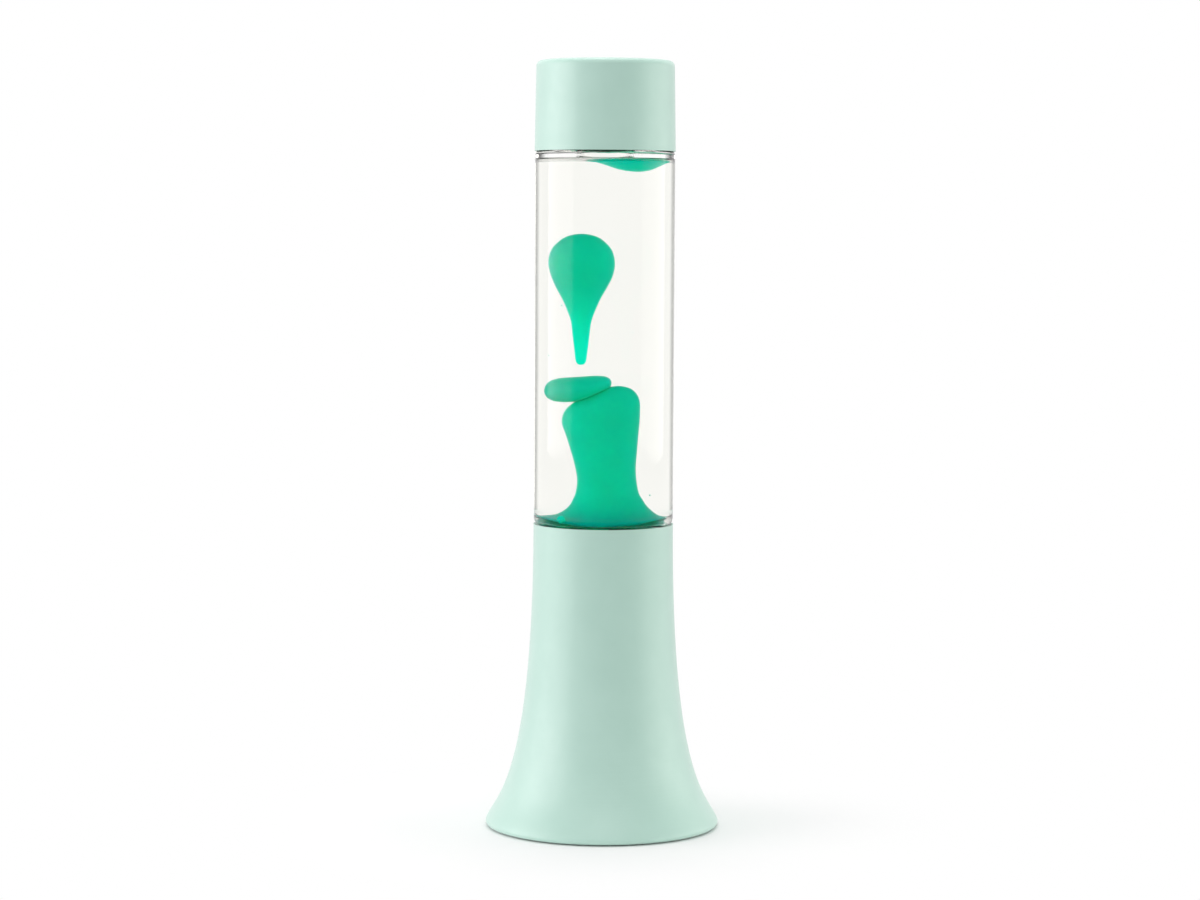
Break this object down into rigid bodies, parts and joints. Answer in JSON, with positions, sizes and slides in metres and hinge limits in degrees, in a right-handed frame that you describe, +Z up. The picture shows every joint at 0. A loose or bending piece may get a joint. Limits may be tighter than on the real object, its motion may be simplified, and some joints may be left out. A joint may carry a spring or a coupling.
{
  "type": "lava lamp",
  "caption": "Lava lamp with a flared metal base, a straight glass bottle of clear liquid and green wax, and a lift-off metal cap.",
  "frame": {"origin": "centre of the lamp's underside, on the surface it stands on", "axes": "+Z up along the bottle; +Y towards the back, where the cord grommet is; +X to the right seen from the front"},
  "size_m": [0.1006, 0.1006, 0.3298],
  "materials": {
    "mint_paint": "matt powder coat",
    "white_enamel": "satin white",
    "clear_glass": "clear, polished",
    "tinplate": "lacquered tinplate",
    "soft_plastic": "soft, matt",
    "clear_liquid": "clear liquid",
    "green_wax": "smooth, translucent",
    "steel_wire": "drawn wire",
    "black_plastic": "fine moulded texture",
    "zinc_steel": "zinc plated",
    "screw_steel": "plated",
    "black_rubber": "matt",
    "holder_white": "moulded",
    "insert_ivory": "glazed",
    "contact_brass": "rolled",
    "terminal_white": "moulded",
    "lead_brown": "PVC",
    "lead_blue": "PVC",
    "bulb_envelope": "frosted face, silvered bowl",
    "bulb_metal": "rolled thread",
    "insulator_black": "black glass",
    "tungsten": "coiled wire"
  },
  "bodies": {
    "base": {"base_shell": "mint_paint", "bottle_seat": "white_enamel", "bottom_plate": "black_plastic", "plate_lugs": "zinc_steel", "plate_screws": "screw_steel", "foot_1": "black_rubber", "foot_2": "black_rubber", "foot_3": "black_rubber", "cord_grommet": "black_rubber", "holder_bracket": "zinc_steel", "bracket_screws": "screw_steel", "holder_nipple": "zinc_steel", "nipple_nut": "screw_steel", "holder_body": "holder_white", "holder_insert": "insert_ivory", "holder_shell": "contact_brass", "holder_contact": "contact_brass", "terminal_block": "terminal_white", "terminal_screws": "screw_steel", "lead_live": "lead_brown", "lead_neutral": "lead_blue"},
    "bulb": {"bulb_glass": "bulb_envelope", "bulb_screw_shell": "bulb_metal", "bulb_insulator": "insulator_black", "bulb_contact": "bulb_metal", "bulb_stem": "clear_glass", "bulb_wires": "steel_wire", "bulb_filament": "tungsten"},
    "bottle": {"glass_bottle": "clear_glass", "crown_cap": "tinplate", "crown_liner": "soft_plastic", "liquid": "clear_liquid", "wax_column": "green_wax", "wax_bead": "green_wax", "wax_coil": "steel_wire"},
    "wax_drop": {"wax_drop": "green_wax"},
    "wax_slab": {"wax_slab": "green_wax"},
    "wax_pool": {"wax_pool": "green_wax"},
    "cap": {"cap": "mint_paint"}
  },
  "joints": [
    {"name": "bottle_lift", "type": "slide", "parent": "base", "child": "bottle", "axis": [0, 0, 1], "range_m": [0, 0.04]},
    {"name": "cap_lift", "type": "slide", "parent": "bottle", "child": "cap", "axis": [0, 0, 1], "range_m": [0, 0.04]},
    {"name": "bulb_turn", "type": "hinge", "parent": "base", "child": "bulb", "pos_m": [0, 0, 0.0405], "axis": [0, 0, 1], "range_deg": [0, 1260]},
    {"name": "drop_rise", "type": "slide", "parent": "bottle", "child": "wax_drop", "axis": [0, 0, 1], "range_m": [-0.002, 0.014], "deforming": ["liquid"]},
    {"name": "slab_rise", "type": "slide", "parent": "bottle", "child": "wax_slab", "axis": [0, 0, 1], "range_m": [0, 0.002], "deforming": ["liquid"]},
    {"name": "pool_sink", "type": "slide", "parent": "bottle", "child": "wax_pool", "axis": [0, 0, 1], "range_m": [-0.008, 0], "deforming": ["liquid"]}
  ]
}
